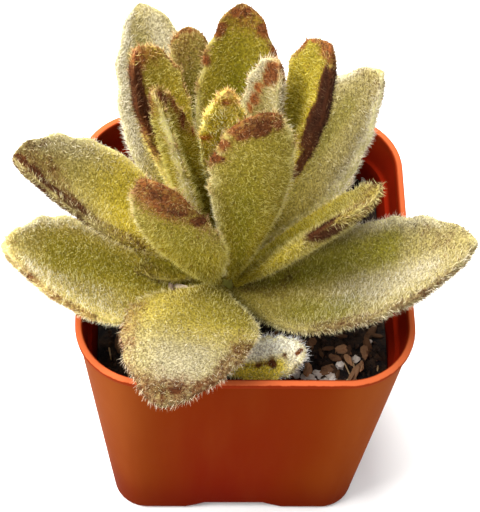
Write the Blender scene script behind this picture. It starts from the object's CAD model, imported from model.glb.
import math

import bpy
import numpy as np
from mathutils import Matrix, Vector


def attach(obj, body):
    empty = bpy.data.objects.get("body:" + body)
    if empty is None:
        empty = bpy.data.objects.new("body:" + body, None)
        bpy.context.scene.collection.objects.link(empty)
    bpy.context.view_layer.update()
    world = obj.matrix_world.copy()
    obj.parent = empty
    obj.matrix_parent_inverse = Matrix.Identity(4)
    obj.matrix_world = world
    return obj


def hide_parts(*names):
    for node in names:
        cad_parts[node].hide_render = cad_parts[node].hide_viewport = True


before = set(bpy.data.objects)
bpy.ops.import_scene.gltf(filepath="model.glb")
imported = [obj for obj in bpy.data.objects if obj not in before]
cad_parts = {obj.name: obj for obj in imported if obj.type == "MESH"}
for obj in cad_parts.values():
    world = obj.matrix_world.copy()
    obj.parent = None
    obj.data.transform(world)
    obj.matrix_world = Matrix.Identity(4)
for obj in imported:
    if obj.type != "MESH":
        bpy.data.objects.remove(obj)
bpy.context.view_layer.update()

mm = 0.001


def meshPiece(name, points, faces, material, smoothShaded=True, values=None, bakeUv=None):
    # points in mm, faces as rows of corner numbers; values: attribute name -> a number or a triple per point;
    # bakeUv: two numbers per face corner, kept under the name that the bake looks for
    mesh = bpy.data.meshes.new(name)
    faces = np.asarray(faces, np.int32)
    count, side = faces.shape
    mesh.vertices.add(len(points))
    mesh.vertices.foreach_set("co", (np.asarray(points, np.float32) * mm).ravel())
    mesh.loops.add(count * side)
    mesh.loops.foreach_set("vertex_index", faces.ravel())
    mesh.polygons.add(count)
    mesh.polygons.foreach_set("loop_start", np.arange(0, count * side, side, dtype=np.int32))
    mesh.update(calc_edges=True)
    mesh.polygons.foreach_set("use_smooth", np.full(count, smoothShaded))
    for title, data in (values or {}).items():
        data = np.asarray(data, np.float32)
        layer = mesh.attributes.new(title, "FLOAT_VECTOR" if data.ndim == 2 else "FLOAT", "POINT")
        layer.data.foreach_set("vector" if data.ndim == 2 else "value", data.ravel())
    if bakeUv is not None:
        layer = mesh.uv_layers.new(name="OFBake")
        layer.data.foreach_set("uv", np.asarray(bakeUv, np.float32).ravel())
    mesh.materials.append(material)
    piece = bpy.data.objects.new(name, mesh)
    bpy.context.scene.collection.objects.link(piece)
    return piece


def closedTube(rings):
    # triangles over rings (rows, count, 3) that follow each other, with a fan to the middle of each end;
    # the map runs along the rings one way and round them the other
    rows, count = rings.shape[:2]
    points = np.concatenate([rings.reshape(-1, 3), rings[:1].mean(1), rings[-1:].mean(1)])
    i, j = (g.ravel() for g in np.meshgrid(np.arange(rows - 1), np.arange(count), indexing="ij"))
    k = (j + 1) % count
    a, b, c, d = i * count + j, i * count + k, (i + 1) * count + k, (i + 1) * count + j
    ring = np.arange(count)
    after = (ring + 1) % count
    end = (rows - 1) * count
    faces = np.concatenate([
        np.stack([a, b, c], 1), np.stack([a, c, d], 1),
        np.stack([np.full(count, rows * count), after, ring], 1),
        np.stack([np.full(count, rows * count + 1), end + ring, end + after], 1),
    ])
    low, high, left, right = i / rows, (i + 1) / rows, j / count, (j + 1) / count
    near, far = np.zeros(count), np.ones(count)
    middle, start, stop = (ring + 0.5) / count, ring / count, (ring + 1) / count
    uv = np.concatenate([
        np.stack([low, left, low, right, high, right], 1), np.stack([low, left, high, right, high, left], 1),
        np.stack([near, middle, near + 0.2 / rows, stop, near + 0.2 / rows, start], 1),
        np.stack([far, middle, far - 0.8 / rows, start, far - 0.8 / rows, stop], 1),
    ]).reshape(-1, 3, 2)
    return points, faces, uv


def smooth(s):
    # 0 to 1 with level ends: 3s^2 - 2s^3
    s = np.clip(s, 0.0, 1.0)
    return s * s * (3.0 - 2.0 * s)


def wobble(points, size, seed):
    # soft noise from -1 to 1: eight sine waves of about this size in mm, in directions drawn from the seed
    draw = np.random.default_rng(seed)
    total = np.zeros(points.shape[:-1])
    for _ in range(8):
        way = draw.normal(size=3)
        way *= 2 * math.pi / (size * draw.uniform(0.7, 1.6)) / np.linalg.norm(way)
        total += np.sin(points @ way + draw.uniform(0, 6.28))
    return total / 4.0


class Wire:
    # wraps a node socket, so that shader maths reads as ordinary sums
    def __init__(self, finish, socket):
        self.finish = finish
        self.socket = socket

    def maths(self, operation, *parts):
        return self.finish.node("ShaderNodeMath", {"operation": operation}, dict(enumerate(parts)))[0]

    def __add__(self, other):
        return self.maths("ADD", self, other)

    def __radd__(self, other):
        return self.maths("ADD", other, self)

    def __sub__(self, other):
        return self.maths("SUBTRACT", self, other)

    def __rsub__(self, other):
        return self.maths("SUBTRACT", other, self)

    def __mul__(self, other):
        return self.maths("MULTIPLY", self, other)

    def __rmul__(self, other):
        return self.maths("MULTIPLY", other, self)

    def __truediv__(self, other):
        return self.maths("DIVIDE", self, other)

    def __pow__(self, other):
        return self.maths("POWER", self, other)

    def least(self, other):
        return self.maths("MINIMUM", self, other)

    def most(self, other):
        return self.maths("MAXIMUM", self, other)

    def size(self):
        return self.maths("ABSOLUTE", self)


class Finish:
    # one material: its Principled shader, and one method that adds any other node
    def __init__(self, name, colour, roughness, **constants):
        self.material = bpy.data.materials.new(name)
        self.material.use_nodes = True
        self.tree = self.material.node_tree
        self.shader = self.tree.nodes["Principled BSDF"]
        self.shader.inputs["Base Color"].default_value = (*colour, 1.0)
        self.shader.inputs["Roughness"].default_value = roughness
        for title, value in constants.items():
            self.shader.inputs[title.replace("_", " ")].default_value = value

    def node(self, kind, settings=None, sockets=None):
        made = self.tree.nodes.new(kind)
        for title, value in (settings or {}).items():
            setattr(made, title, value)
        for title, value in (sockets or {}).items():
            if isinstance(value, Wire):
                self.tree.links.new(value.socket, made.inputs[title])
            elif isinstance(value, tuple) and made.inputs[title].type == "RGBA":
                made.inputs[title].default_value = (*value, 1.0)
            else:
                made.inputs[title].default_value = value
        return [Wire(self, socket) for socket in made.outputs]

    def place(self):
        # object coordinates, in metres
        return self.node("ShaderNodeTexCoord")[3]

    def attribute(self, name):
        # a point attribute, as a vector and as one number
        return self.node("ShaderNodeAttribute", {"attribute_name": name})[1:3]

    def parts(self, vector):
        return self.node("ShaderNodeSeparateXYZ", None, {0: vector})

    def noise(self, scale, detail=3.0, roughness=0.55, vector=None):
        sockets = {"Vector": vector or self.place(), "Scale": scale, "Detail": detail, "Roughness": roughness}
        return self.node("ShaderNodeTexNoise", None, sockets)[0]

    def step(self, value, low, high):
        # 0 below low, 1 above high, smooth between
        sockets = {"Value": value, "From Min": low, "From Max": high}
        return self.node("ShaderNodeMapRange", {"interpolation_type": "SMOOTHSTEP"}, sockets)[0]

    def blend(self, share, first, second, how="MIX", clamped=False):
        settings = {"data_type": "RGBA", "blend_type": how, "clamp_result": clamped}
        return self.node("ShaderNodeMix", settings, {"Factor": share, 6: first, 7: second})[2]

    def feed(self, title, wire):
        self.tree.links.new(wire.socket, self.shader.inputs[title])

    def bump(self, height, strength, distance):
        sockets = {"Height": height, "Strength": strength, "Distance": distance}
        self.feed("Normal", self.node("ShaderNodeBump", None, sockets)[0])


cameraLook = {
    "azimuth": -4.6535, "elevation": 55.2102, "roll": 4.2784,  # degrees
    "distance": 420.4746, "aim": (0.4427, 12.0097, 40.0),  # mm
    "lens": 144.68,
}


def addCamera(look):
    # stands at aim + distance * back, where back = (sin a cos e, -cos a cos e, sin e), then turns by the roll
    a, e, r = (math.radians(look[k]) for k in ("azimuth", "elevation", "roll"))
    back = Vector((math.sin(a) * math.cos(e), -math.cos(a) * math.cos(e), math.sin(e)))
    right = Vector((0, 0, 1)).cross(back).normalized()
    up = back.cross(right)
    right, up = right * math.cos(r) + up * math.sin(r), up * math.cos(r) - right * math.sin(r)
    data = bpy.data.cameras.new("photoCamera")
    data.lens, data.sensor_width = look["lens"], 36.0
    data.clip_start, data.clip_end = 0.01, 10.0
    camera = bpy.data.objects.new("photoCamera", data)
    bpy.context.scene.collection.objects.link(camera)
    spot = (Vector(look["aim"]) + back * look["distance"]) * mm
    turn = Matrix((right, up, back)).transposed().to_4x4()
    camera.matrix_world = Matrix.Translation(spot) @ turn
    bpy.context.scene.camera = camera


# lengths in metres, power in watts
studio = {
    "floor": (0.93, 0.93, 0.93), "floorHalf": 3.0, "world": (1.0, 1.0, 1.0), "worldStrength": 1.0,
    "key": {"spot": (-0.12, 0.44, 0.70), "size": 0.35, "power": 9.5, "colour": (1.0, 0.98, 0.93)},
    "fill": {"spot": (-0.45, -0.10, 0.65), "size": 0.5, "power": 10.0, "colour": (1.0, 0.99, 0.96)},
    "aimHeight": 0.06,
}


def addStudio(look):
    # a pale floor under the pot, two soft panels and an even white surround
    half = look["floorHalf"] / mm
    corners = [(-half, -half, 0), (half, -half, 0), (half, half, 0), (-half, half, 0)]
    floorFinish = Finish("paleFloor", look["floor"], 0.9)
    floorFinish.feed("Roughness", 0.85 + 0.1 * floorFinish.noise(40.0, 2.0))
    floor = meshPiece("floor", corners, [(0, 1, 2, 3)], floorFinish.material)
    world = bpy.data.worlds.new("surround")
    world.use_nodes = True
    background = world.node_tree.nodes["Background"]
    background.inputs["Color"].default_value = (*look["world"], 1.0)
    background.inputs["Strength"].default_value = look["worldStrength"]
    bpy.context.scene.world = world
    bpy.context.scene.view_settings.view_transform = "Standard"
    for title in ("key", "fill"):
        data = bpy.data.lights.new(title, "AREA")
        data.energy, data.size, data.color = look[title]["power"], look[title]["size"], look[title]["colour"]
        light = bpy.data.objects.new(title, data)
        light.location = look[title]["spot"]
        light.rotation_mode = "QUATERNION"
        aim = light.location - Vector((0, 0, look["aimHeight"]))
        light.rotation_quaternion = aim.to_track_quat("Z", "Y")
        bpy.context.scene.collection.objects.link(light)


addCamera(cameraLook)
addStudio(studio)
print("camera and light stand")


# Where each leaf sits and its size, in mm and degrees. heading: from +X towards +Y. side: how far round
# the stem from that it is attached, at this height, where no foot is given. rise, tipRise: how steeply it
# climbs at its foot and its tip. sway: how far its heading turns. roll: how far the blade turns about its
# length. widest: where along it is broadest. blunt: under 1, a fuller tip. cup: how hollow its upper side is.
# pale: how silvery the felt is. green and greenAt: the deep green middle and how far it lies to the left.
# gold and goldTo: the yellow foot and how far up it reaches. rim: how pale the felt stands on the left and
# the right edge. light: how light or dark the whole leaf is. tipBrown and tipDepth: the browned tip, and its
# depth in mm. edgeBrown: a browned scalloped edge. red: from chocolate, 0, to rust, 1.
# bands: dark bands, each as place across from -1 right to 1 left, width, start, end, amount and red.
# deep and glow: deep green and silvery bands, each as place across, width, start, end and amount.
# marks: dark spots, as place along, place across, radius in mm, amount and red.
leafPlain = dict(
    sway=0, roll=0, greenAt=0.0, rim=(1.0, 1.0), light=1.0, red=0.2, bands=[], deep=[], glow=[], marks=[],
)

leafSpots = {
    "leaf_01": dict(
        heading=200.5, side=-2.5, height=51.6, rise=19.5, tipRise=56.5, sway=-8.5, roll=-2.5,
        length=50.5, width=23, widest=0.57, blunt=0.85, thick=3.7, cup=0.31, slot="felt_outer",
        pale=0.5, green=0.35, greenAt=-0.2, gold=0.45, goldTo=0.9, rim=(0.4, 1.0), light=1.36,
        tipBrown=0.3, tipDepth=5, edgeBrown=0.35,
        bands=[(0.97, 0.12, 0.5, 1, 0.5, 0.3)],
        deep=[(-0.3, 0.35, 0.15, 0.8, 0.5)],
        glow=[(-0.95, 0.2, 0.3, 0.95, 0.7), (0.55, 0.4, 0.35, 0.95, 0.5)],
        marks=[(0.79, 0.95, 1.3, 0.7, 0.2), (0.9, 0.93, 1.3, 0.7, 0.2)],
    ),
    "leaf_02": dict(
        heading=172, side=-16, height=59.4, rise=33, tipRise=49.5, sway=19.5, roll=0.5,
        length=48.5, width=20.8, widest=0.54, blunt=0.7, thick=3.3, cup=0.38, slot="felt_middle",
        pale=0.5, green=0.15, greenAt=-0.4, gold=0.9, goldTo=0.62, rim=(0.2, 1.0),
        tipBrown=0.5, tipDepth=10, edgeBrown=0.3, red=0.06,
        bands=[(0.68, 0.38, 0.54, 0.98, 0.72, 0.06), (0.84, 0.28, 0.2, 0.7, 0.52, 0.12),
            (0.0, 0.7, 0.62, 1.05, 0.52, 0.3)],
        glow=[(-0.85, 0.3, 0.4, 0.95, 0.4)],
        marks=[(0.9, 0.5, 3.0, 1, 0.05), (0.82, 0.62, 3.0, 0.9, 0.05), (0.96, 0.1, 2.4, 0.8, 0.1)],
    ),
    "leaf_03": dict(
        heading=113.5, side=19, height=56.4, rise=27.5, tipRise=46, sway=-7, roll=-2.5,
        length=52, width=18.8, widest=0.52, blunt=0.64, thick=3.9, cup=0.47, slot="felt_outer",
        pale=0.8, green=0.3, gold=0.45, goldTo=0.5, rim=(0.5, 0.5), light=0.92,
        tipBrown=0.15, tipDepth=2, edgeBrown=0.15,
        deep=[(0.35, 0.25, 0.3, 0.9, 0.4)],
        glow=[(0.9, 0.25, 0.3, 1, 0.7), (-0.4, 0.4, 0.6, 1, 0.5)],
    ),
    "leaf_04": dict(
        heading=106, side=-19.5, height=60.3, rise=29, tipRise=78, sway=1.5, roll=-15.5,
        length=45.5, width=9.8, widest=0.65, blunt=0.44, thick=4, cup=0.2, slot="felt_dark",
        pale=0.35, green=0.5, gold=0.3, goldTo=0.5, rim=(0.5, 0.5),
        tipBrown=0.42, tipDepth=12, edgeBrown=0.6, red=0.35,
    ),
    "leaf_05": dict(
        heading=133.5, side=7, height=62.2, rise=52.5, tipRise=66, sway=-5.5, roll=19,
        length=44.5, width=14, widest=0.74, blunt=0.62, thick=3.7, cup=0.34, slot="felt_middle",
        pale=0.15, green=0.3, gold=0.8, goldTo=0.8, rim=(0.6, 0.8), light=1.2,
        tipBrown=0.62, tipDepth=5.5, edgeBrown=0.45, red=0.35,
        bands=[(0.74, 0.4, 0.56, 0.99, 1, 0.05), (1, 0.15, 0.42, 0.8, 0.6, 0.3),
            (-1, 0.12, 0.55, 1, 0.6, 0.45)],
    ),
    "leaf_06": dict(
        heading=79.5, side=5.5, height=65.1, rise=53, tipRise=59.5, sway=11, roll=-1.5,
        length=45.5, width=15.4, widest=0.56, blunt=0.57, thick=3.4, cup=0.31, slot="felt_inner",
        pale=0.06, green=0.9, gold=0.5, goldTo=0.5, rim=(0.7, 0.7), light=0.8,
        tipBrown=0.5, tipDepth=7, edgeBrown=0.6, red=0.5,
        marks=[(0.9, 0.88, 1.8, 1, 0.3), (0.965, 0.35, 1.5, 0.9, 0.3), (0.97, -0.35, 1.6, 0.9, 0.35),
            (0.9, -0.88, 2.0, 1, 0.35), (0.82, -0.97, 1.6, 0.9, 0.4), (0.77, 0.97, 1.3, 0.9, 0.45),
            (0.68, -0.99, 1.2, 0.7, 0.5)],
    ),
    "leaf_07": dict(
        heading=159, side=2.5, height=66.7, rise=68.5, tipRise=78.5, sway=19.5, roll=9,
        length=42, width=15.6, widest=0.42, blunt=0.67, thick=3.3, cup=0.28, slot="felt_inner",
        pale=0.12, green=0.4, greenAt=0.1, gold=0.7, goldTo=0.7, rim=(0.9, 0.2), light=0.82,
        tipBrown=0.35, tipDepth=1.6, edgeBrown=0.3, red=0.6,
        bands=[(-0.82, 0.26, 0.45, 0.97, 0.6, 0.5)],
        marks=[(0.94, -0.1, 2.5, 1, 0.2), (0.88, -0.34, 2.3, 1, 0.2), (0.77, -0.8, 1.6, 0.9, 0.4),
            (0.65, -0.75, 2.5, 1, 0.25), (0.52, -0.97, 1.4, 0.9, 0.6), (0.36, -0.97, 1.5, 0.9, 0.6)],
    ),
    "leaf_08": dict(
        heading=110.5, side=-12.5, height=68.9, rise=74, tipRise=105.5, sway=-16, roll=-9,
        length=40.5, width=8, widest=0.62, blunt=0.82, thick=3, cup=0.3, slot="felt_inner",
        pale=0.2, green=0.2, gold=1.0, goldTo=0.95, rim=(0.5, 0.5), light=1.35,
        tipBrown=0.45, tipDepth=6, edgeBrown=0.3, red=0.75,
        glow=[(0, 0.7, 0.3, 0.9, 0.3)],
        marks=[(0.94, 0, 1.7, 0.8, 0.55), (0.64, 0.75, 1.7, 0.7, 0.8), (0.76, -0.8, 1.2, 0.5, 0.8)],
    ),
    "leaf_09": dict(
        heading=46.5, side=-22, height=71, rise=70, tipRise=83.5, sway=5, roll=-26.5,
        length=40.5, width=11.2, widest=0.7, blunt=0.61, thick=3.3, cup=0.33, slot="felt_inner",
        pale=0.7, green=0.25, greenAt=-0.4, gold=0.7, goldTo=0.65, rim=(0.8, 0.2), light=0.9,
        tipBrown=0.3, tipDepth=1.4, edgeBrown=0.2, red=0.8,
        glow=[(0.9, 0.4, 0.4, 1, 0.5)],
        marks=[(0.95, -0.2, 2.3, 1, 0.15), (0.91, 0.05, 1.6, 1, 0.35), (0.87, 0.2, 1.3, 1, 0.5),
            (0.83, 0.32, 1.2, 0.9, 0.55), (0.78, 0.42, 1.3, 0.9, 0.55), (0.72, 0.5, 1.7, 1, 0.4),
            (0.66, 0.55, 1.3, 0.7, 0.55)],
    ),
    "leaf_10": dict(
        heading=295.5, side=8, height=59.4, rise=72.5, tipRise=98.5, sway=18.5, roll=-20.5,
        length=53.5, width=15.8, widest=0.74, blunt=0.57, thick=3.7, cup=0.23, slot="felt_inner",
        pale=0.15, green=0.6, greenAt=-0.3, gold=0.7, goldTo=0.5, rim=(0.7, 0.7), light=0.93,
        tipBrown=0.7, tipDepth=4.2, edgeBrown=0.5, red=0.42,
        marks=[(0.955, 0.15, 2.7, 1, 0.15), (0.95, -0.45, 2.0, 0.95, 0.3), (0.93, 0.75, 1.8, 0.9, 0.35),
            (0.835, -0.95, 1.6, 1, 0.35), (0.9, -0.93, 1.5, 0.9, 0.45)],
    ),
    "leaf_11": dict(
        heading=17, side=-4, height=62, rise=65.5, tipRise=82, sway=20, roll=-16,
        length=56, width=15.8, widest=0.77, blunt=0.72, thick=3.7, cup=0.25, slot="felt_inner",
        pale=0.12, green=0.4, greenAt=0.35, gold=0.85, goldTo=0.95, rim=(0.6, 0.4), light=0.93,
        tipBrown=0.7, tipDepth=3.2, edgeBrown=0.5, red=0.4,
        bands=[(-0.76, 0.46, 0.54, 0.99, 1, 0.0), (-1, 0.2, 0.4, 0.75, 0.8, 0.1),
            (1, 0.18, 0.74, 1, 0.8, 0.5)],
    ),
    "leaf_12": dict(
        heading=40.5, side=8, height=58, rise=30, tipRise=67.5, sway=-17.5, roll=-2,
        length=49, width=19.4, widest=0.56, blunt=0.78, thick=3.9, cup=0.23, slot="felt_outer",
        pale=0.75, green=0.3, greenAt=0.2, gold=0.3, goldTo=0.5, light=0.95,
        tipBrown=0.3, tipDepth=6, edgeBrown=0.12,
        deep=[(0.1, 0.3, 0.4, 0.85, 0.4)],
        glow=[(-0.9, 0.2, 0.4, 1, 0.5), (0.9, 0.2, 0.6, 1, 0.5)],
    ),
    "leaf_13": dict(
        heading=237.5, side=-2, height=57.7, rise=59.5, tipRise=80, sway=-17, roll=19,
        length=52.5, width=16.6, widest=0.57, blunt=0.58, thick=3.4, cup=0.15, slot="felt_inner",
        pale=0.12, green=0.3, greenAt=0.3, gold=0.8, goldTo=0.6, rim=(0.1, 0.8), light=0.77,
        tipBrown=0.68, tipDepth=13, edgeBrown=0.4, red=0.5,
        bands=[(1, 0.25, 0.62, 0.9, 0.6, 0.4)],
        marks=[(0.95, 0, 1.8, 1, 0.12), (0.87, 0.6, 2.1, 1, 0.12), (0.81, 0.9, 1.7, 1, 0.15)],
    ),
    "leaf_14": dict(
        heading=-14.5, side=-2.5, height=55.4, rise=55.5, tipRise=59.5, sway=-16.5, roll=-14,
        length=44.5, width=17.4, widest=0.68, blunt=0.42, thick=3.4, cup=0.2, slot="felt_middle",
        pale=0.25, green=0.25, greenAt=0.3, gold=0.9, goldTo=0.7, rim=(0.7, 0.0), light=0.92,
        tipBrown=0.5, tipDepth=9, edgeBrown=0.3, red=0.12,
        bands=[(-0.75, 0.42, 0.64, 0.95, 0.8, 0.07), (0.4, 0.6, 0.8, 1.05, 0.5, 0.2)],
        marks=[(0.84, -0.7, 2.8, 1, 0.05)],
    ),
    "leaf_15": dict(
        heading=-29.5, side=-12, height=52, rise=28.5, tipRise=47.5, sway=30, roll=-7,
        length=56, width=27, widest=0.48, blunt=0.74, thick=4.5, cup=0.25, slot="felt_outer",
        pale=0.7, green=0.3, greenAt=0.45, gold=0.15, goldTo=0.4, rim=(0.6, 0.1), light=0.87,
        tipBrown=0.32, tipDepth=9, edgeBrown=0.2, red=0.15,
        bands=[(-0.97, 0.12, 0.3, 0.98, 0.5, 0.08), (0.45, 0.4, 0.66, 0.97, 0.42, 0.15),
            (0.2, 0.6, -0.1, 0.3, 0.4, 0.05)],
        deep=[(0.45, 0.34, 0.0, 0.72, 0.8), (-0.6, 0.3, 0.2, 0.6, 0.6)],
        glow=[(-0.25, 0.4, 0.38, 0.9, 0.5), (0.92, 0.2, 0.38, 0.9, 0.5)],
    ),
    "leaf_16": dict(
        heading=251.5, side=-1.5, height=54.2, rise=40.5, tipRise=7, sway=2.5, roll=3.5,
        length=41.5, width=24.6, widest=0.47, blunt=0.75, thick=4.5, cup=0.1, slot="felt_cream",
        pale=0.75, green=0.0, gold=0.55, goldTo=0.66, rim=(0.5, 0.3),
        tipBrown=0.58, tipDepth=9, edgeBrown=0.5,
        bands=[(0.98, 0.34, 0.42, 1, 0.58, 0.22), (-0.98, 0.32, 0.3, 1, 0.5, 0.35)],
        deep=[(0.45, 0.5, 0.0, 0.5, 0.3)],
        glow=[(0.1, 0.7, 0.5, 0.93, 0.5)],
        marks=[(0.92, 0.4, 1.9, 0.9, 0.08), (0.96, 0, 1.8, 0.8, 0.08), (0.93, -0.5, 2.2, 0.6, 0.1)],
    ),
    "leaf_17": dict(
        heading=-4, foot=(-6.5, -21.5, 52.1), rise=3.5, tipRise=40.5, sway=3, roll=28.5,
        length=19.5, width=8.6, widest=0.51, blunt=0.51, thick=4.5, cup=0.3, slot="felt_outer",
        pale=0.9, green=0.0, greenAt=-0.5, gold=1.0, goldTo=0.9, rim=(0.6, 0.1), light=1.7,
        tipBrown=0.1, tipDepth=2, edgeBrown=0.2, red=0.15,
        bands=[(-0.2, 0.14, 0.2, 0.72, 0.6, 0.12)],
        glow=[(0.55, 0.65, -0.1, 1.1, 1.3), (-0.4, 0.6, 0.7, 1.1, 1)],
        marks=[(0.5, -0.15, 1.0, 0.9, 0.1), (0.66, -0.2, 1.2, 1, 0.1), (0.8, -0.1, 0.7, 0.8, 0.15),
            (0.95, -0.2, 0.7, 0.9, 0.2)],
    ),
    "leaf_18": dict(
        heading=74.5, side=0.5, height=54.5, rise=25.5, tipRise=27.5, sway=1, roll=0.5,
        length=37.5, width=14.8, widest=0.58, blunt=0.55, thick=3.3, cup=0.11, slot="felt_outer",
        pale=0.75, green=0.4, gold=0.4, goldTo=0.4,
        tipBrown=0.2, tipDepth=2, edgeBrown=0.2,
        marks=[(0.85, 0.95, 1.2, 0.6, 0.3), (0.7, -0.95, 1.2, 0.6, 0.3)],
    ),
    "leaf_19": dict(
        heading=113, side=9.5, height=51.9, rise=17, tipRise=26, sway=-1, roll=-1,
        length=41, width=9.2, widest=0.61, blunt=0.52, thick=4.5, cup=0.2, slot="felt_outer",
        pale=0.75, green=0.4, gold=0.4, goldTo=0.4,
        tipBrown=0.25, tipDepth=2, edgeBrown=0.25,
        marks=[(0.8, -0.95, 1.2, 0.7, 0.2)],
    ),
    "dry_leaf": dict(
        heading=178, side=4, height=55.0, rise=14, tipRise=24, sway=6,
        length=18, width=7.5, widest=0.5, blunt=0.6, thick=1.8, cup=0.3, slot="felt_outer",
        pale=0.2, green=0.5, gold=0.4, goldTo=0.9, rim=(0.4, 0.4),
        tipBrown=0.4, tipDepth=12, edgeBrown=0.4, red=0.15,
    ),
    "leaf_20": dict(
        heading=49, side=2, height=51.8, rise=7.5, tipRise=12,
        length=37, width=14.2, widest=0.58, blunt=0.55, thick=4.5, cup=0.2, slot="felt_outer",
        pale=0.75, green=0.4, gold=0.4, goldTo=0.4,
        tipBrown=0.25, tipDepth=2, edgeBrown=0.25,
        marks=[(0.9, 0.95, 1.4, 0.7, 0.2), (0.75, 0.95, 1.2, 0.6, 0.2)],
    ),
}
leaves = {name: {**leafPlain, **own} for name, own in leafSpots.items()}

# mm; ring and point counts; the stem and crown that the leaves start from, as in the solid model
leafForm = {
    "neck": 0.24, "teeth": 3, "toothDepth": 0.34, "groove": 0.35, "keel": 0.25, "dimple": 0.09,
    "rings": 46, "tipRings": 20, "around": 36, "stemX": -4.0, "stemY": -3.0,
    "crownFoot": 3.0, "crownTop": 1.3, "crownFrom": 52.0, "crownTo": 78.0, "gap": 0.35,
}

# hairs: in all. threads: the share of long pale ones among the nap. Lengths and radii in mm; rooted: how deep
# a root sits; spread, the leans and tuft: how far a hair turns from upright, at random, to the tip, by tufts
felt = {
    "hairs": 176000, "threads": 0.45, "threadLength": 1.1, "napLength": 0.65, "threadRadius": 0.05,
    "napRadius": 0.06, "rooted": 0.12, "spread": 0.42, "threadLean": 0.7, "napLean": 0.3, "tuft": 0.4,
    "bands": 24, "seed": 5,
    "olive": (0.37, 0.285, 0.014), "deepGreen": (0.20, 0.20, 0.008), "gold": (0.70, 0.55, 0.040),
    "silver": (0.56, 0.49, 0.29), "frost": (0.80, 0.76, 0.62), "shadow": (0.065, 0.045, 0.005),
    "threadGreen": (0.88, 0.78, 0.20), "threadCream": (0.96, 0.89, 0.75), "threadTan": (0.78, 0.46, 0.24),
    "rim": (0.98, 0.90, 0.40), "chocolate": (0.030, 0.010, 0.005), "brown": (0.26, 0.085, 0.024),
    "rust": (0.56, 0.14, 0.016),
}


def toothWave(u):
    # the cosine of the scallops along the outer half of the leaf
    return np.cos(2 * math.pi * leafForm["teeth"] * (u - 0.5) / 0.45)


def halfWidth(leaf, u):
    # rises from the neck to the widest place by 3s^2 - 2s^3, closes by (1 - s^2.2)^blunt, waves at the edge
    neck = leafForm["neck"]
    past = np.clip((u - leaf["widest"]) / (1 - leaf["widest"]), 0.0, 1.0)
    narrow = neck + (1 - neck) * smooth(u / leaf["widest"])
    half = 0.5 * leaf["width"] * np.where(u < leaf["widest"], narrow, (1 - past**2.2) ** leaf["blunt"])
    toothed = smooth((u - 0.5) / 0.2) * (1 - smooth((u - 0.93) / 0.07))
    return half + leafForm["toothDepth"] * toothWave(u) * toothed


def wayAlong(heading, rise):
    # the direction of a midline: (cos h cos r, sin h cos r, sin r)
    return np.stack([np.cos(heading) * np.cos(rise), np.sin(heading) * np.cos(rise), np.sin(rise)], -1)


def leafFoot(leaf):
    # where the midline starts: the given foot, or else on the crown's cone at the leaf's height
    if "foot" in leaf:
        return np.array(leaf["foot"])
    form = leafForm
    climb = np.clip((leaf["height"] - form["crownFrom"]) / (form["crownTo"] - form["crownFrom"]), 0.0, 1.0)
    reach = form["crownFoot"] + (form["crownTop"] - form["crownFoot"]) * climb + form["gap"]
    angle = math.radians(leaf["heading"] + leaf["side"])
    spot = form["stemX"] + reach * math.cos(angle), form["stemY"] + reach * math.sin(angle)
    return np.array([*spot, leaf["height"]])


def leafSurface(leaf, u, turn):
    # A blade of half width w(u) and thickness t(u) carried along a curved midline. Across the blade
    # v = cos(turn)^0.85, and the height over the midline is cup v^2 w + t/2 sin(turn)^0.9, signs kept.
    # The middle of the upper side sinks in a groove, and the lower side's has a keel.
    parts = 60
    fine = np.linspace(0.0, 1.0, parts + 1)
    rise = np.radians(leaf["rise"] + (leaf["tipRise"] - leaf["rise"]) * fine)
    heading = np.radians(leaf["heading"] + leaf["sway"] * fine)
    along = wayAlong(heading, rise)
    foot = leafFoot(leaf)
    steps = (along[1:] + along[:-1]) / 2 * leaf["length"] / parts
    midline = np.vstack([foot, foot + np.cumsum(steps, axis=0)])
    centre = np.stack([np.interp(u, fine, midline[:, k]) for k in range(3)], -1)
    rise, heading = np.interp(u, fine, rise), np.interp(u, fine, heading)
    along = wayAlong(heading, rise)
    across = np.stack([-np.sin(heading), np.cos(heading), np.zeros(np.shape(u))], -1)
    above = np.cross(along, across)
    roll = np.radians(leaf["roll"]) * smooth(u / 0.5)
    cos, sin = np.cos(roll)[..., None], np.sin(roll)[..., None]
    across, above = across * cos + above * sin, above * cos - across * sin
    half = halfWidth(leaf, u)
    thin = 1 - 0.45 * np.clip((u - 0.35) / 0.65, 0.0, 1.0) ** 2
    closing = np.sqrt(np.clip((1 - u) / 0.05, 0.0, 1.0))
    thick = leaf["thick"] * (0.66 + 0.34 * smooth(u / 0.35)) * thin * closing
    v = np.sign(np.cos(turn)) * np.abs(np.cos(turn)) ** 0.85
    w = np.sign(np.sin(turn)) * np.abs(np.sin(turn)) ** 0.9
    body = smooth(u / 0.3) * (1 - smooth((u - 0.75) / 0.2))
    groove = -leafForm["groove"] * np.exp(-((v / 0.2) ** 2)) * (w > 0) * np.abs(w) * body
    keel = -leafForm["keel"] * np.exp(-((v / 0.3) ** 2)) * (w < 0) * np.abs(w) * body
    over = leaf["cup"] * smooth(u / 0.35) * half * v**2 + 0.5 * thick * w + groove + keel
    return centre + across * (half * v)[..., None] + above * over[..., None], v


def bandShare(zone, u, v):
    # the amount in the band and 0 outside: exp(-((v - at) / wide)^4), soft at its start and end
    at, wide, low, high, amount = zone[:5]
    ends = smooth((u - low) / 0.18) * (1 - smooth((u - high + 0.06) / 0.08))
    return amount * np.exp(-(((v - at) / wide) ** 4)) * ends


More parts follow.
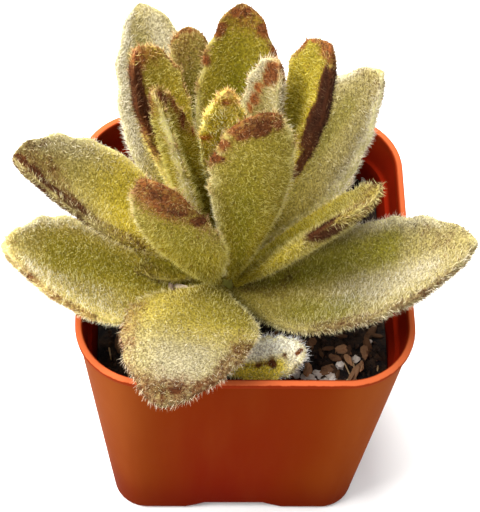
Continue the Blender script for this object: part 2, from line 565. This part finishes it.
def leafTint(leaf, u, v):
    # From mm in from the edge and mm back from the tip: how brown the felt is and how rusty, how deep green;
    # then how silvery, how golden, and how pale at the rim. Spots are bell curves about their middles, and
    # every place is first shifted by soft noise, so that no border is straight.
    half = halfWidth(leaf, u)
    flat = np.stack([u * leaf["length"], v * half, np.full(np.shape(u), leaf["heading"])], -1)
    u = np.clip(u + 0.45 * wobble(flat, 2.4, 21) / leaf["length"], 0.0, 1.0)
    v = np.clip(v + 0.35 * wobble(flat, 2.0, 22) / np.maximum(half, 1.0), -1.0, 1.0)
    fromTip = (1 - u) * leaf["length"]
    fromEdge = np.minimum((1 - np.abs(v)) * half, fromTip * 0.8)
    brown = leaf["tipBrown"] * (1 - smooth((fromTip / leaf["tipDepth"] - 0.45) / 0.75))
    scallop = 0.45 + 0.55 * toothWave(u)
    edging = leaf["edgeBrown"] * (1 - smooth((fromEdge - 0.25) / 1.3)) * smooth((u - 0.5) / 0.2)
    brown = np.maximum(brown, edging * np.maximum(scallop, smooth((u - 0.88) / 0.1)))
    rust = np.full(np.shape(u), leaf["red"])
    for band in leaf["bands"]:
        share = bandShare(band, u, v)
        rust = rust + (band[5] - rust) * share
        brown = np.maximum(brown, share)
    for along, across, radius, amount, rusty in leaf["marks"]:
        away = (((u - along) * leaf["length"]) ** 2 + ((v - across) * half) ** 2) / radius**2
        share = amount * np.exp(-away)
        rust = rust + (rusty - rust) * share
        brown = np.maximum(brown, share)
    channel = np.exp(-(((v - leaf["greenAt"]) / 0.42) ** 2))
    green = leaf["green"] * channel * smooth(u / 0.15) * (1 - smooth((u - 0.55) / 0.4))
    for band in leaf["deep"]:
        green = np.maximum(green, bandShare(band, u, v))
    gold = leaf["gold"] * (1 - smooth((u - leaf["goldTo"] + 0.2) / 0.3))
    silver = leaf["pale"] * (0.35 + 0.65 * smooth(u / 0.85)) * (0.7 + 0.3 * v**2) * (1 - 0.6 * green)
    for band in leaf["glow"]:
        silver = silver + (1.25 - silver) * bandShare(band, u, v)
    left, right = leaf["rim"]
    rim = smooth((np.abs(v) - 0.80) / 0.2) * np.where(v > 0, left, right)
    rim = np.maximum(rim, smooth((1.6 - fromTip) / 1.2) * max(left, right)) * (1 - 0.8 * brown)
    return np.stack([brown, rust, green], -1), np.stack([silver, gold, rim], -1)


def feltFinish(name, hairy):
    # Olive, golden, deep green or silvery by place, under the brown marks, and the whole times the leaf's
    # light. Each hair draws whether it is a pale thread or leaf-coloured nap, and whether it is browned where
    # the marks thin out. The skin under it is speckled, finely in the green and in blotches in the brown.
    made = Finish(name, (0.4, 0.38, 0.2), 0.95, Specular_IOR_Level=0.02)
    brown, rust, green = made.parts(made.attribute("leafTint")[0])
    silver, gold, rim = made.parts(made.attribute("leafTone")[0])
    blotch = made.noise(260.0, 3.0, 0.6)
    grain = made.noise(1500.0, 2.0, 0.7)
    body = made.blend(silver * (0.75 + 0.5 * blotch), felt["olive"], felt["silver"])
    body = made.blend(gold * (0.5 + 0.7 * blotch), body, felt["gold"])
    body = made.blend(green * (0.6 + 0.6 * blotch), body, felt["deepGreen"])
    frosty = ((silver - 0.8) * 1.6).most(0.0).least(1.0)
    body = made.blend(frosty, body, felt["frost"])
    dark = made.blend(rust * 2.0, felt["chocolate"], felt["brown"])
    dark = made.blend(rust * 2.0 - 1.0, dark, felt["rust"])
    uneven = brown + (blotch - 0.5) * 0.6 + (grain - 0.5) * 0.3
    if hairy:
        tip, shade, draw = made.parts(made.attribute("hairLook")[0])
        mottle = made.attribute("mottle")[1]
        thread = made.step(shade, 0.58, 0.62)
        light = (shade * 2.5 - 1.5).most(0.0)
        pale = made.blend((silver * 1.3).most(rim * 0.8), felt["threadGreen"], felt["threadCream"])
        pale = made.blend(brown * rust * 2.2, pale, felt["threadTan"])
        share = (tip * 1.8).least(1.0) * (0.08 + thread * (0.42 + 0.75 * light) + rim * 0.5).least(1.0)
        under = (0.95 - 1.1 * shade - 0.7 * mottle) * (1.0 - 0.75 * frosty)
        leafy = made.blend(rim * 0.6, made.blend(under, body, felt["shadow"]), pale)
        leafy = made.blend(share, leafy, pale)
        deepest = made.blend(1.0 - mottle - 0.3 * shade, dark, felt["chocolate"])
        tanned = 0.03 + (0.15 + 1.6 * rust) * made.step(draw, 0.42, 0.50) + 0.6 * rust
        browned = made.blend(share * tanned * (0.35 + 0.65 * mottle), deepest, felt["threadTan"])
        stray = (draw - 0.5) * (1.1 - 0.7 * brown) - 0.22 * thread * (1.0 - 0.6 * brown)
        colour = made.blend(made.step(uneven + stray, 0.30, 0.58), leafy, browned)
    else:
        speck = made.step(made.noise(2600.0, 2.0, 0.7), 0.40, 0.62)
        body = made.blend(0.7 - 0.5 * speck, body, felt["shadow"])
        body = made.blend(rim * 0.4, body, felt["rim"])
        coarse, fine = made.noise(1250.0, 2.0, 0.6), made.noise(2800.0, 2.0, 0.6)
        mottle = made.step(0.55 * coarse + 0.45 * fine, 0.40, 0.58)
        dark = made.blend(0.65 - 0.75 * mottle, dark, felt["chocolate"])
        colour = made.blend(made.step(uneven - 0.12 * mottle, 0.15, 0.7), body, dark)
        made.bump(grain + 0.5 * blotch, 0.4, 0.0003)
    lightness = made.attribute("leafLight")[1]
    made.feed("Base Color", made.blend(1.0, colour, lightness, "MULTIPLY", True))
    return made.material


def buildSkin(name, leaf):
    # rings of the blade's surface, closer together near the tip, softly dimpled on both faces
    form = leafForm
    nearTip = 1 - 0.1 * (1 - np.linspace(0.05, 0.995, form["tipRings"])) ** 1.5
    u = np.concatenate([np.linspace(0.0, 0.9, form["rings"]), nearTip])
    turn = np.linspace(0, 2 * math.pi, form["around"], endpoint=False)
    u, turn = np.meshgrid(u, turn, indexing="ij")
    points, v = leafSurface(leaf, u, turn)
    points[..., 2] += form["dimple"] * wobble(points, 3.5, 3) * smooth(1 - np.abs(v))
    tube, faces, uv = closedTube(points)
    rings, ends = leafTint(leaf, u, v), leafTint(leaf, np.array([0.0, 1.0]), np.zeros(2))
    tint, tone = (np.vstack([ring.reshape(-1, 3), end]) for ring, end in zip(rings, ends))
    values = {"leafTint": tint, "leafTone": tone, "leafLight": np.full(len(tube), leaf["light"])}
    skin = meshPiece(name + "_skin", tube, faces, finishes["skin"], True, values, uv)
    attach(skin, "root")
    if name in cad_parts:
        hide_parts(name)


def feltArea(leaf):
    # cell areas of the blade on a coarse grid, for spreading the hairs evenly
    u, turn = np.linspace(0.0, 0.999, 61), np.linspace(0, 2 * math.pi, 49)
    u, turn = np.meshgrid(u, turn, indexing="ij")
    p = leafSurface(leaf, u, turn)[0]
    one, two = p[1:, 1:] - p[:-1, :-1], p[1:, :-1] - p[:-1, 1:]
    return u, turn, 0.5 * np.linalg.norm(np.cross(one, two), axis=-1)


def unit(ways):
    return ways / (np.linalg.norm(ways, axis=1)[:, None] + 1e-9)


def feltUv(u, turn):
    # each needle's three sides share one small triangle of the map at its own place on the leaf
    band = np.floor(turn / (2 * math.pi) * felt["bands"] * 0.9999)
    low, high = (band + 0.06) / felt["bands"], (band + 0.94) / felt["bands"]
    left, right = u * 0.98, u * 0.98 + 0.012
    wide = np.stack([left, low, right, low, (left + right) / 2, high], 1).reshape(-1, 1, 3, 2)
    flat = np.stack([left, low, right, low, left, low], 1).reshape(-1, 1, 3, 2)
    return np.concatenate([wide, wide, wide, flat], 1).reshape(-1, 3, 2)


def buildFelt(name, leaf, count, seed):
    # Each hair is a slim three-sided needle. Roots are drawn evenly over the area, the needle stands along
    # the normal (from finite differences), leans to the tip and with its tuft, and is longer at the edge and
    # the tip and shorter at the foot. Its lightness is soft noise over the leaf plus a draw of its own.
    draw = np.random.default_rng(seed)
    gridU, gridTurn, area = feltArea(leaf)
    cell = draw.choice(area.size, count, p=area.ravel() / area.sum())
    i, j = np.unravel_index(cell, area.shape)
    u = gridU[i, j] + (gridU[i + 1, j] - gridU[i, j]) * draw.random(count)
    turn = gridTurn[i, j] + (gridTurn[i, j + 1] - gridTurn[i, j]) * draw.random(count)
    u = np.clip(u, 0.004, 0.996)
    root, v = leafSurface(leaf, u, turn)
    alongU = unit(leafSurface(leaf, u + 0.003, turn)[0] - leafSurface(leaf, u - 0.003, turn)[0])
    alongTurn = leafSurface(leaf, u, turn + 0.02)[0] - leafSurface(leaf, u, turn - 0.02)[0]
    normal = unit(np.cross(alongTurn, alongU))
    thread = draw.random(count) < felt["threads"]
    titles = "Lean", "Length", "Radius"
    lean, longest, radius = (np.where(thread, felt["thread" + title], felt["nap" + title]) for title in titles)
    tuft = np.stack([wobble(root, 1.3, k) for k in (31, 32, 33)], 1)
    way = normal + alongU * lean[:, None] + draw.normal(0, felt["spread"], (count, 3)) + felt["tuft"] * tuft
    way /= np.linalg.norm(way, axis=1)[:, None]
    edge = smooth((np.abs(v) - 0.6) / 0.4)
    tint, tone = leafTint(leaf, u, v)
    length = longest * (0.7 + 0.55 * draw.random(count))
    length *= 0.9 + 0.15 * edge + 0.2 * smooth((u - 0.7) / 0.3)
    length *= (0.55 + 0.45 * smooth(u / 0.25)) * (1 - 0.4 * tint[:, 0] * (1 - edge))
    side = unit(np.cross(way, draw.normal(size=(count, 3))))
    other = np.cross(way, side)
    start = root - way * felt["rooted"]
    thirds = (0.0, 2.094, 4.189)
    corners = [start + radius[:, None] * (side * math.cos(t) + other * math.sin(t)) for t in thirds]
    tips = start + way * (length + felt["rooted"])[:, None]
    points = np.stack(corners + [tips], 1).reshape(-1, 3)
    pattern = np.array([[0, 1, 3], [1, 2, 3], [2, 0, 3], [2, 1, 0]])
    faces = (np.arange(count)[:, None, None] * 4 + pattern).reshape(-1, 3)
    clump = 0.5 * wobble(root, 1.5, 34) + 0.5 * wobble(root, 0.6, 35)
    light = np.clip(0.5 + 0.5 * clump + 0.6 * (draw.random(count) - 0.5), 0.0, 0.999)
    shade = np.where(thread, 0.61 + 0.39 * light, 0.57 * light)
    mottle = smooth(0.5 + 0.9 * wobble(root, 0.9, 36) + 0.7 * wobble(root, 0.45, 37))
    tipMost = np.tile([0.0, 0.0, 0.0, 1.0], count)
    values = {
        "leafTint": np.repeat(tint, 4, axis=0), "leafTone": np.repeat(tone, 4, axis=0),
        "leafLight": np.full(count * 4, leaf["light"]), "mottle": np.repeat(mottle, 4),
        "hairLook": np.stack([tipMost, np.repeat(shade, 4), np.repeat(draw.random(count), 4)], 1),
    }
    hair = meshPiece(name + "_felt", points, faces, finishes["felt"], False, values, feltUv(u, turn))
    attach(hair, "root")


finishes = {"skin": feltFinish("leafSkin", False), "felt": feltFinish("leafFelt", True)}
areas = {name: feltArea(leaf)[2].sum() for name, leaf in leaves.items()}
allArea = sum(areas.values())
for number, (name, leaf) in enumerate(leaves.items()):
    buildSkin(name, leaf)
    buildFelt(name, leaf, int(felt["hairs"] * areas[name] / allArea), felt["seed"] + number)
print("leaves: area", round(allArea), "mm2, hairs", felt["hairs"])


# mm, and the counts of points round a corner and along a side
potForm = {
    "height": 61.75, "footHalf": 24.75, "footCorner": 6.65, "rimHalf": 32.0, "rimCorner": 13.3,
    "lipDepth": 1.5, "lipStep": 0.45, "lipRound": 0.4, "fillet": 1.3, "wallAbove": 1.0, "wallBelow": 1.8,
    "ledgeDrop": 8.0, "floor": 1.4, "archHeight": 2.0, "archTop": 12.5, "archFoot": 19.0, "archReach": 11.0,
    "drainRadius": 2.6, "drainOffset": 17.5, "cornerSteps": 14, "sideSteps": 18,
}


def squareRing(half, corner, z, form):
    # a square outline with round corners: quarter arcs joined by straight runs, anticlockwise
    turns = np.linspace(0.0, math.pi / 2, form["cornerSteps"] + 1)
    sides = np.linspace(1.0, -1.0, form["sideSteps"] + 1)[1:-1]
    parts = []
    for quarter in range(4):
        angle = quarter * math.pi / 2
        diagonal = np.array([math.cos(angle + math.pi / 4), math.sin(angle + math.pi / 4)])
        centre = diagonal * (half - corner) * math.sqrt(2)
        parts.append(centre + corner * np.stack([np.cos(angle + turns), np.sin(angle + turns)], 1))
        out = np.array([-math.sin(angle), math.cos(angle)])
        parts.append(half * out + np.outer(sides, (half - corner) * np.array([out[1], -out[0]])))
    flat = np.concatenate(parts)
    return np.column_stack([flat, np.full(len(flat), z)])


def wallRing(z, inset, form=potForm):
    # the outline at this height, so far in from the outer wall
    share = z / form["height"]
    half = form["footHalf"] + (form["rimHalf"] - form["lipStep"] - form["footHalf"]) * share
    corner = form["footCorner"] + (form["rimCorner"] - form["lipStep"] - form["footCorner"]) * share
    return squareRing(half - inset, max(corner - inset, 0.4), z, form)


def archRise(points, form=potForm):
    # how far the foot is lifted: a flat-topped arch over the middle of each side, reaching inwards
    x, y = np.abs(points[:, 0]), np.abs(points[:, 1])
    out, across = np.maximum(x, y), np.minimum(x, y)
    slope = 1 - smooth((across - form["archTop"] / 2) / (form["archFoot"] / 2 - form["archTop"] / 2))
    return form["archHeight"] * slope * smooth((out - (form["footHalf"] - form["archReach"])) / 1.2 + 0.5)


def potProfile(form):
    # height and inset of each ring: out from the middle of the foot, up the outside, over the rounded lip and
    # down the inside past the ledge
    top, ledge, lip = form["height"], form["height"] - form["ledgeDrop"], form["height"] - form["lipDepth"]
    above, below, step = form["wallAbove"], form["wallBelow"], form["lipStep"]
    fillet, rounded = form["fillet"], form["lipRound"]
    middle, wide = (above - step) / 2, (above + step) / 2
    quarter = math.pi / 2
    spots = [(0.0, inset) for inset in np.linspace(form["footHalf"] - 0.5, fillet + 1.0, 26)]
    spots += [(fillet * (1 - math.cos(t)), fillet * (1 - math.sin(t))) for t in np.linspace(0, quarter, 7)]
    spots += [(z, 0.0) for z in np.linspace(2.5, lip - 0.6, 26)]
    spots += [(lip - 0.25, 0.02), (lip, -0.16), (lip + 0.18, -step + 0.06), (lip + 0.4, -step)]
    for out, turns in ((-wide, np.linspace(0, quarter - 0.01, 6)), (wide, np.linspace(quarter - 0.3, 0, 5))):
        spots += [(top - rounded + rounded * math.sin(t), middle + out * math.cos(t) ** 0.6) for t in turns]
    spots += [(z, above) for z in np.linspace(top - 1.2, ledge + 0.4, 6)]
    spots += [(ledge + 0.15, above + 0.12), (ledge, above + 0.45), (ledge - 0.12, below - 0.05)]
    spots += [(z, below) for z in np.linspace(ledge - 0.6, 6.0, 12)]
    return spots


def buildPot():
    # the profile's rings, then the floor's, which rise with the arches; the sides bulge by a tenth of a
    # millimetre, and four drain holes are cut
    form = potForm
    rings = []
    for z, inset in potProfile(form):
        ring = wallRing(z, inset)
        ring[:, 2] += archRise(ring) * np.clip(1 - ring[:, 2] / 9.0, 0.0, 1.0)
        rings.append(ring)
    for inset in np.linspace(form["wallBelow"] + 0.8, form["footHalf"] - 0.5, 24):
        ring = wallRing(form["floor"], inset)
        ring[:, 2] += archRise(ring) * 1.05
        rings.append(ring)
    rings = np.array(rings)
    flank = np.sign(rings[..., 0]) * smooth(1 - np.abs(rings[..., 1]) / 30)
    rings[..., 0] += 0.10 * np.sin(rings[..., 2] / 17.0) * flank
    points, faces, uv = closedTube(rings)
    pot = meshPiece("pot_body", points, faces, potFinish(), True, None, uv)
    rounds = np.linspace(0, 2 * math.pi, 28, endpoint=False)
    hole = form["drainRadius"] * np.stack([np.cos(rounds), np.sin(rounds), rounds * 0], 1)
    for quarter in range(4):
        angle = quarter * math.pi / 2
        centre = form["drainOffset"] * np.array([math.cos(angle), math.sin(angle), 0])
        ring = centre + hole
        drill, drillFaces, _ = closedTube(np.array([ring + [0, 0, -2.0], ring + [0, 0, 7.0]]))
        cutter = meshPiece(f"drill{quarter}", drill, drillFaces, pot.data.materials[0], False)
        cut = pot.modifiers.new("drain", "BOOLEAN")
        cut.operation, cut.object, cut.solver = "DIFFERENCE", cutter, "EXACT"
        settle(pot)
        bpy.data.objects.remove(cutter, do_unlink=True)
    pot.data.set_sharp_from_angle(angle=math.radians(50))
    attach(pot, "root")
    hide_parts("pot")


def settle(piece):
    # puts the modifiers' result into the mesh
    graph = bpy.context.evaluated_depsgraph_get()
    made = bpy.data.meshes.new_from_object(piece.evaluated_get(graph))
    piece.modifiers.clear()
    old, name = piece.data, piece.data.name
    piece.data = made
    bpy.data.meshes.remove(old)
    made.name = name


potLook = {
    "red": (0.122, 0.0062, 0.0004), "brown": (0.135, 0.0190, 0.0008), "tan": (0.200, 0.046, 0.007),
    "foot": (0.090, 0.0034, 0.0003), "lip": (0.18, 0.015, 0.003), "edge": (0.55, 0.12, 0.04),
    "inside": (0.21, 0.0105, 0.0025), "dentDark": (0.05, 0.004, 0.002),
    "dent": (-30.8, 36.0, 0.5, 3.2),  # mm: where it is across and up, half its width and half its height
    "corner": (0.0184, 0.00665, 0.1004),  # m: how far out its middle is, radius at the foot, growth with z
}


def potFinish():
    # Satin orange-brown plastic. Deeper red low in the middle of the sides, tan at the round corners,
    # streaked upright by the mould, darker at the foot, with a worn line on the rim and a small dent at one
    # corner.
    look = potLook
    gloss = {"Specular_IOR_Level": 0.002, "Specular_Tint": (1.0, 0.4, 0.12, 1.0)}
    made = Finish("terracottaPlastic", (0.20, 0.03, 0.005), 0.5, **gloss)
    x, y, z = made.parts(made.place())
    cloud = made.noise(28.0, 3.0, 0.5)
    fine = made.noise(900.0, 2.0, 0.6)
    upright = made.node("ShaderNodeMapping", None, {"Vector": made.place(), "Scale": (1.0, 1.0, 0.12)})[0]
    streak = made.noise(150.0, 3.0, 0.6, upright)
    across = x.size().least(y.size())
    cornerOut, cornerRadius, cornerGrowth = look["corner"]
    beyondX, beyondY = (x.size() - cornerOut).most(0.0), (y.size() - cornerOut).most(0.0)
    # how far in from the outer wall
    depth = cornerRadius + cornerGrowth * z - (beyondX ** 2.0 + beyondY ** 2.0) ** 0.5
    height = made.step(z, 0.004, 0.056)
    middle = 1.0 - made.step(across + (cloud - 0.5) * 0.02, 0.004, 0.020)
    body = made.blend(middle * (1.0 - 0.55 * height), look["brown"], look["red"])
    corner = made.step(across, 0.014, 0.025)
    body = made.blend(corner * (0.35 + 0.4 * height + (streak - 0.5) * 0.8), body, look["tan"])
    body = made.blend((streak - 0.45) * 0.5, body, look["tan"])
    body = made.blend((1.0 - made.step(z + (cloud - 0.5) * 0.02, 0.002, 0.022)) * 0.6, body, look["foot"])
    inward = made.step(depth, 0.0004, 0.0007) * made.step(z, 0.003, 0.005)
    body = made.blend(inward, body, look["inside"])
    lip = made.step(z, 0.0598, 0.0603)
    body = made.blend(lip * (0.7 + 0.5 * (cloud - 0.5)), body, look["lip"])
    worn = made.step(z + (fine - 0.5) * 0.0003, 0.06150, 0.06168) * (1.0 - made.step(depth, 0.0002, 0.0006))
    body = made.blend(worn * 0.8, body, look["edge"])
    dentX, dentZ, dentWide, dentTall = look["dent"]
    apart = ((x * 1000.0 - dentX) / dentWide) ** 2.0 + ((z * 1000.0 - dentZ) / dentTall) ** 2.0
    dent = (1.0 - made.step(apart + (fine - 0.5) * 0.8, 0.4, 1.3)) * (1.0 - made.step(y, -0.012, -0.008))
    body = made.blend(dent * 0.7, body, look["dentDark"])
    made.feed("Base Color", body)
    made.feed("Roughness", 0.38 + 0.12 * cloud + 0.08 * fine)
    made.bump(fine * 0.3 + made.noise(160.0, 2.0, 0.5) + 0.6 * streak - 0.8 * dent, 0.15, 0.0003)
    return made.material


buildPot()
print("pot done")


# mm; chips: round humps in the bed; hole: the radius of the stem's, and holeFoot its bottom
soilForm = {
    "level": 48.4, "base": 4.0, "gap": 0.35, "hole": 3.35, "holeFoot": 39.65, "chips": 34, "chipSeed": 11,
    "rings": 90, "cornerSteps": 18, "sideSteps": 20,
}


def soilHeight(x, y):
    # slow swells and a scatter of round humps over a level bed, as in the solid model
    level = soilForm["level"]
    draw = np.random.default_rng(soilForm["chipSeed"])
    height = level + 0.45 * np.sin(0.33 * x + 1.0) * np.cos(0.29 * y) + 0.3 * np.sin(0.71 * x - 0.5 * y)
    for _ in range(soilForm["chips"]):
        cx, cy = draw.uniform(-26, 26, 2)
        radius, rise = draw.uniform(1.3, 2.6), draw.uniform(0.3, 0.95)
        height = height + rise * np.exp(-((x - cx) ** 2 + (y - cy) ** 2) / radius**2)
    return np.clip(height, level - 1.0, level + 1.7)


def buildSoil():
    # rings up the pot's inside, then from the wall in to the stem's hole over the bed's height and its crumbs
    form = {**potForm, "cornerSteps": soilForm["cornerSteps"], "sideSteps": soilForm["sideSteps"]}
    inset = potForm["wallBelow"] + soilForm["gap"]
    rings = [wallRing(z, inset, form) for z in (soilForm["base"], 26.0, soilForm["level"] - 1.2)]
    edge = wallRing(soilForm["level"], inset, form)
    angles = math.radians(32) + np.linspace(0, 2 * math.pi, len(edge), endpoint=False)
    stem = np.array([leafForm["stemX"], leafForm["stemY"]])
    mouth = stem + soilForm["hole"] * np.stack([np.cos(angles), np.sin(angles)], 1)
    for share in np.linspace(0, 1, soilForm["rings"]):
        flat = edge[:, :2] * (1 - share) + mouth * share
        level = np.column_stack([flat, flat[:, :1] * 0])
        crumbs = wobble(level, 1.6, 8) * 0.35 + wobble(level, 0.7, 9) * 0.15
        height = soilHeight(flat[:, 0], flat[:, 1]) + crumbs * smooth(share * 8) * smooth((1 - share) * 8)
        rings.append(np.column_stack([flat, height]))
    rings.append(np.column_stack([mouth, np.full(len(mouth), soilForm["holeFoot"])]))
    points, faces, uv = closedTube(np.array(rings))
    made = Finish("darkMix", (0.02, 0.013, 0.009), 0.9, Specular_IOR_Level=0.2)
    clod = made.noise(450.0, 4.0, 0.7)
    fibre = made.noise(1600.0, 3.0, 0.7)
    colour = made.blend(made.step(clod, 0.35, 0.75), (0.006, 0.005, 0.006), (0.045, 0.024, 0.013))
    made.feed("Base Color", made.blend(made.step(fibre, 0.62, 0.8), colour, (0.11, 0.06, 0.03)))
    made.bump(clod + 0.5 * fibre, 0.9, 0.001)
    soil = meshPiece("soil_bed", points, faces, made.material, True, None, uv)
    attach(soil, "root")
    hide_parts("soil")


def ballGrid(rows, count):
    # directions over a sphere, poles closed by the tube's end fans
    tilt = np.linspace(-math.pi / 2 + 0.35, math.pi / 2 - 0.35, rows)
    turn = np.linspace(0, 2 * math.pi, count, endpoint=False)
    tilt, turn = np.meshgrid(tilt, turn, indexing="ij")
    return np.stack([np.cos(tilt) * np.cos(turn), np.cos(tilt) * np.sin(turn), np.sin(tilt)], -1)


def scatterBits(name, spots, sizes, bit):
    # One mesh of many small lumps. A lump is a sphere pulled to its three sizes, with each direction's
    # radius changed by a random share, then turned by a random rotation and set at its spot.
    draw = np.random.default_rng(bit["seed"])
    tube, faces, _ = closedTube(ballGrid(*bit["grid"]))
    total = len(spots)
    shapes = np.repeat(tube[None], total, 0) * (1 + bit["lumpy"] * draw.uniform(-1, 1, (total, len(tube), 1)))
    shapes *= sizes[:, None, :]
    turns = draw.uniform(0, 2 * math.pi, total)
    tips = draw.normal(0, 0.35, (total, 2))
    cos, sin = np.cos(turns)[:, None], np.sin(turns)[:, None]
    x, y, z = shapes[..., 0], shapes[..., 1], shapes[..., 2]
    x, y = x * cos - y * sin, x * sin + y * cos
    x, z = x + z * tips[:, :1], z - x * tips[:, :1]
    y, z = y + z * tips[:, 1:], z - y * tips[:, 1:]
    points = (np.stack([x, y, z], -1) + spots[:, None]).reshape(-1, 3)
    triangles = (faces[None] + (np.arange(total) * len(tube))[:, None, None]).reshape(-1, 3)
    shade = np.repeat(draw.random(total), len(tube))
    piece = meshPiece(name, points, triangles, bitFinish(*bit["finish"]), False, {"bitShade": shade})
    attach(piece, "root")


def bitFinish(name, dark, light, roughness):
    made = Finish(name, light, roughness, Specular_IOR_Level=0.2)
    shade = made.attribute("bitShade")[1]
    grain = made.noise(2200.0, 3.0, 0.7)
    made.feed("Base Color", made.blend(shade * 0.65 + grain * 0.45, dark, light))
    made.bump(grain, 0.5, 0.0003)
    return made.material


def onSoil(flat, lift):
    return np.column_stack([flat, soilHeight(flat[:, 0], flat[:, 1]) + lift])


def drawnSpots(count, seed):
    # places inside the pot's walls and clear of the stem
    draw = np.random.default_rng(seed)
    flat = draw.uniform(-26.5, 26.5, (count * 3, 2))
    keep = np.hypot(flat[:, 0] - leafForm["stemX"], flat[:, 1] - leafForm["stemY"]) > 4.6
    keep &= np.hypot(np.maximum(np.abs(flat[:, 0]) - 18.5, 0), np.maximum(np.abs(flat[:, 1]) - 18.5, 0)) < 9.0
    return flat[keep][:count]


# Loose bits in mm. near: places set by hand, and nearLift: how high over the bed these lie, or atHeight: how
# high over the floor. more: how many more are drawn, with their own seed and lift. lump: how big, and by what
# share each of the three sizes differs; or flake: half length, half width and half thickness. lumpy: how
# rough. grid: rows and points of each. finish: name, dark and light colour, roughness.
soilBits = {
    "perlite": {
        "near": [(26.0, 25.5), (18.7, -19.7), (11.8, -22.2), (13.1, -22.6), (15.6, -23.1), (24.0, 20.0),
                 (10.2, -21.0), (14.4, -21.6), (17.2, -22.8), (21.8, -18.2)],
        "nearLift": 0.35, "nearSize": (0.95, 0.85, 0.7), "more": (46, 2, 0.25),
        "lump": ((0.45, 1.0), (0.8, 1.2)), "lumpy": 0.25, "seed": 3, "grid": (6, 9),
        "finish": ("perliteWhite", (0.45, 0.36, 0.30), (0.80, 0.74, 0.68), 0.8),
    },
    "soil_grains": {
        "more": (2600, 4, 0.15),
        "lump": ((0.18, 0.55), (0.7, 1.3)), "lumpy": 0.3, "seed": 5, "grid": (3, 5),
        "finish": ("darkGrains", (0.004, 0.003, 0.004), (0.06, 0.032, 0.018), 0.9),
    },
    "bark_curls": {
        "near": [(16.2, -20.8), (20.3, -18.6), (22.6, -20.4), (19.5, -16.3), (17.6, -18.4), (23.5, -17.0),
                 (12.4, -20.6), (21.2, -22.2)],
        "nearLift": 0.9,
        "flake": ((1.1, 1.9), (0.5, 0.9), (0.35, 0.6)), "lumpy": 0.3, "seed": 12, "grid": (5, 8),
        "finish": ("barkTan", (0.05, 0.02, 0.01), (0.42, 0.22, 0.11), 0.85),
    },
    "dry_scales": {
        "near": [(-13.9, -7.0), (-12.6, -7.3), (-11.3, -7.5), (-10.1, -7.7), (-8.9, -7.9), (-12.0, -6.4),
                 (-9.5, -7.0)],
        "atHeight": 56.2,
        "flake": ((0.9, 1.5), (0.35, 0.6), (0.25, 0.4)), "lumpy": 0.3, "seed": 14, "grid": (5, 8),
        "finish": ("dryScale", (0.16, 0.08, 0.04), (0.75, 0.60, 0.46), 0.85),
    },
    "bark_chips": {
        "more": (150, 6, 0.45),
        "flake": ((0.7, 2.2), (0.4, 1.0), (0.18, 0.4)), "lumpy": 0.22, "seed": 7, "grid": (4, 7),
        "finish": ("barkBrown", (0.02, 0.010, 0.006), (0.17, 0.08, 0.035), 0.85),
    },
    "straw": {
        "near": [(21.4, -22.4), (26.0, -9.3), (20.0, -21.0)],
        "nearLift": 0.8, "more": (34, 8, 0.6),
        "flake": ((1.2, 3.2), (0.10, 0.2), (0.08, 0.16)), "lumpy": 0.15, "seed": 9, "grid": (4, 6),
        "finish": ("strawTan", (0.20, 0.12, 0.06), (0.50, 0.34, 0.18), 0.7),
    },
}


def buildBits():
    # in the table's order, because all their sizes come from one run of draws
    draw = np.random.default_rng(31)
    for name, bit in soilBits.items():
        spots = []
        if "nearLift" in bit:
            spots.append(onSoil(np.array(bit["near"]), bit["nearLift"]))
        if "atHeight" in bit:
            spots.append(np.array([(*spot, bit["atHeight"]) for spot in bit["near"]]))
        if "more" in bit:
            count, seed, lift = bit["more"]
            spots.append(onSoil(drawnSpots(count, seed), lift))
        spots = np.vstack(spots)
        total = len(spots)
        if "lump" in bit:
            size, uneven = bit["lump"]
            sizes = draw.uniform(*size, (total, 1)) * draw.uniform(*uneven, (total, 3))
        else:
            sizes = np.stack([draw.uniform(*side, total) for side in bit["flake"]], 1)
        if "nearSize" in bit:
            sizes[: len(bit["near"])] = bit["nearSize"]
        scatterBits(name, spots, sizes, bit)


# mm: the stem's radius at heights along it
stemForm = {
    "heights": [40.0, 40.6, 49.0, 51.0, 54.0, 63.0, 71.0, 71.9],
    "radii": [2.6, 3.0, 3.0, 2.4, 1.7, 1.3, 0.9, 0.3],
    "foot": 40.0, "top": 71.8, "rings": 60, "around": 32, "knobs": 0.03,
}


def buildStem():
    # a tapering round stem: radius over height along the same steps as the solid, slightly knobbly
    form = stemForm
    heights = np.linspace(form["foot"], form["top"], form["rings"])
    radii = np.interp(heights, form["heights"], form["radii"])
    turn = np.linspace(0, 2 * math.pi, form["around"], endpoint=False)
    height, angle = np.meshgrid(heights, turn, indexing="ij")
    radius = radii[:, None] * (1 - form["knobs"] * np.sin(3 * angle + height))
    x, y = leafForm["stemX"] + radius * np.cos(angle), leafForm["stemY"] + radius * np.sin(angle)
    points, faces, uv = closedTube(np.stack([x, y, height], -1))
    made = Finish("stemGreen", (0.5, 0.5, 0.12), 0.8, Specular_IOR_Level=0.05)
    scar = made.noise(500.0, 3.0, 0.6)
    made.feed("Base Color", made.blend(made.step(scar, 0.5, 0.75), (0.66, 0.64, 0.14), (0.36, 0.28, 0.08)))
    made.bump(scar, 0.5, 0.0005)
    stem = meshPiece("stem_bark", points, faces, made.material, True, None, uv)
    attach(stem, "root")
    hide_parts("stem")


buildSoil()
buildBits()
buildStem()
print("soil and stem done")

added = [o for o in bpy.context.scene.objects if o.type == "MESH" and o.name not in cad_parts]
counts = [len(o.data.polygons) for o in added]
print("triangles added", sum(counts), "most in a piece", max(counts))
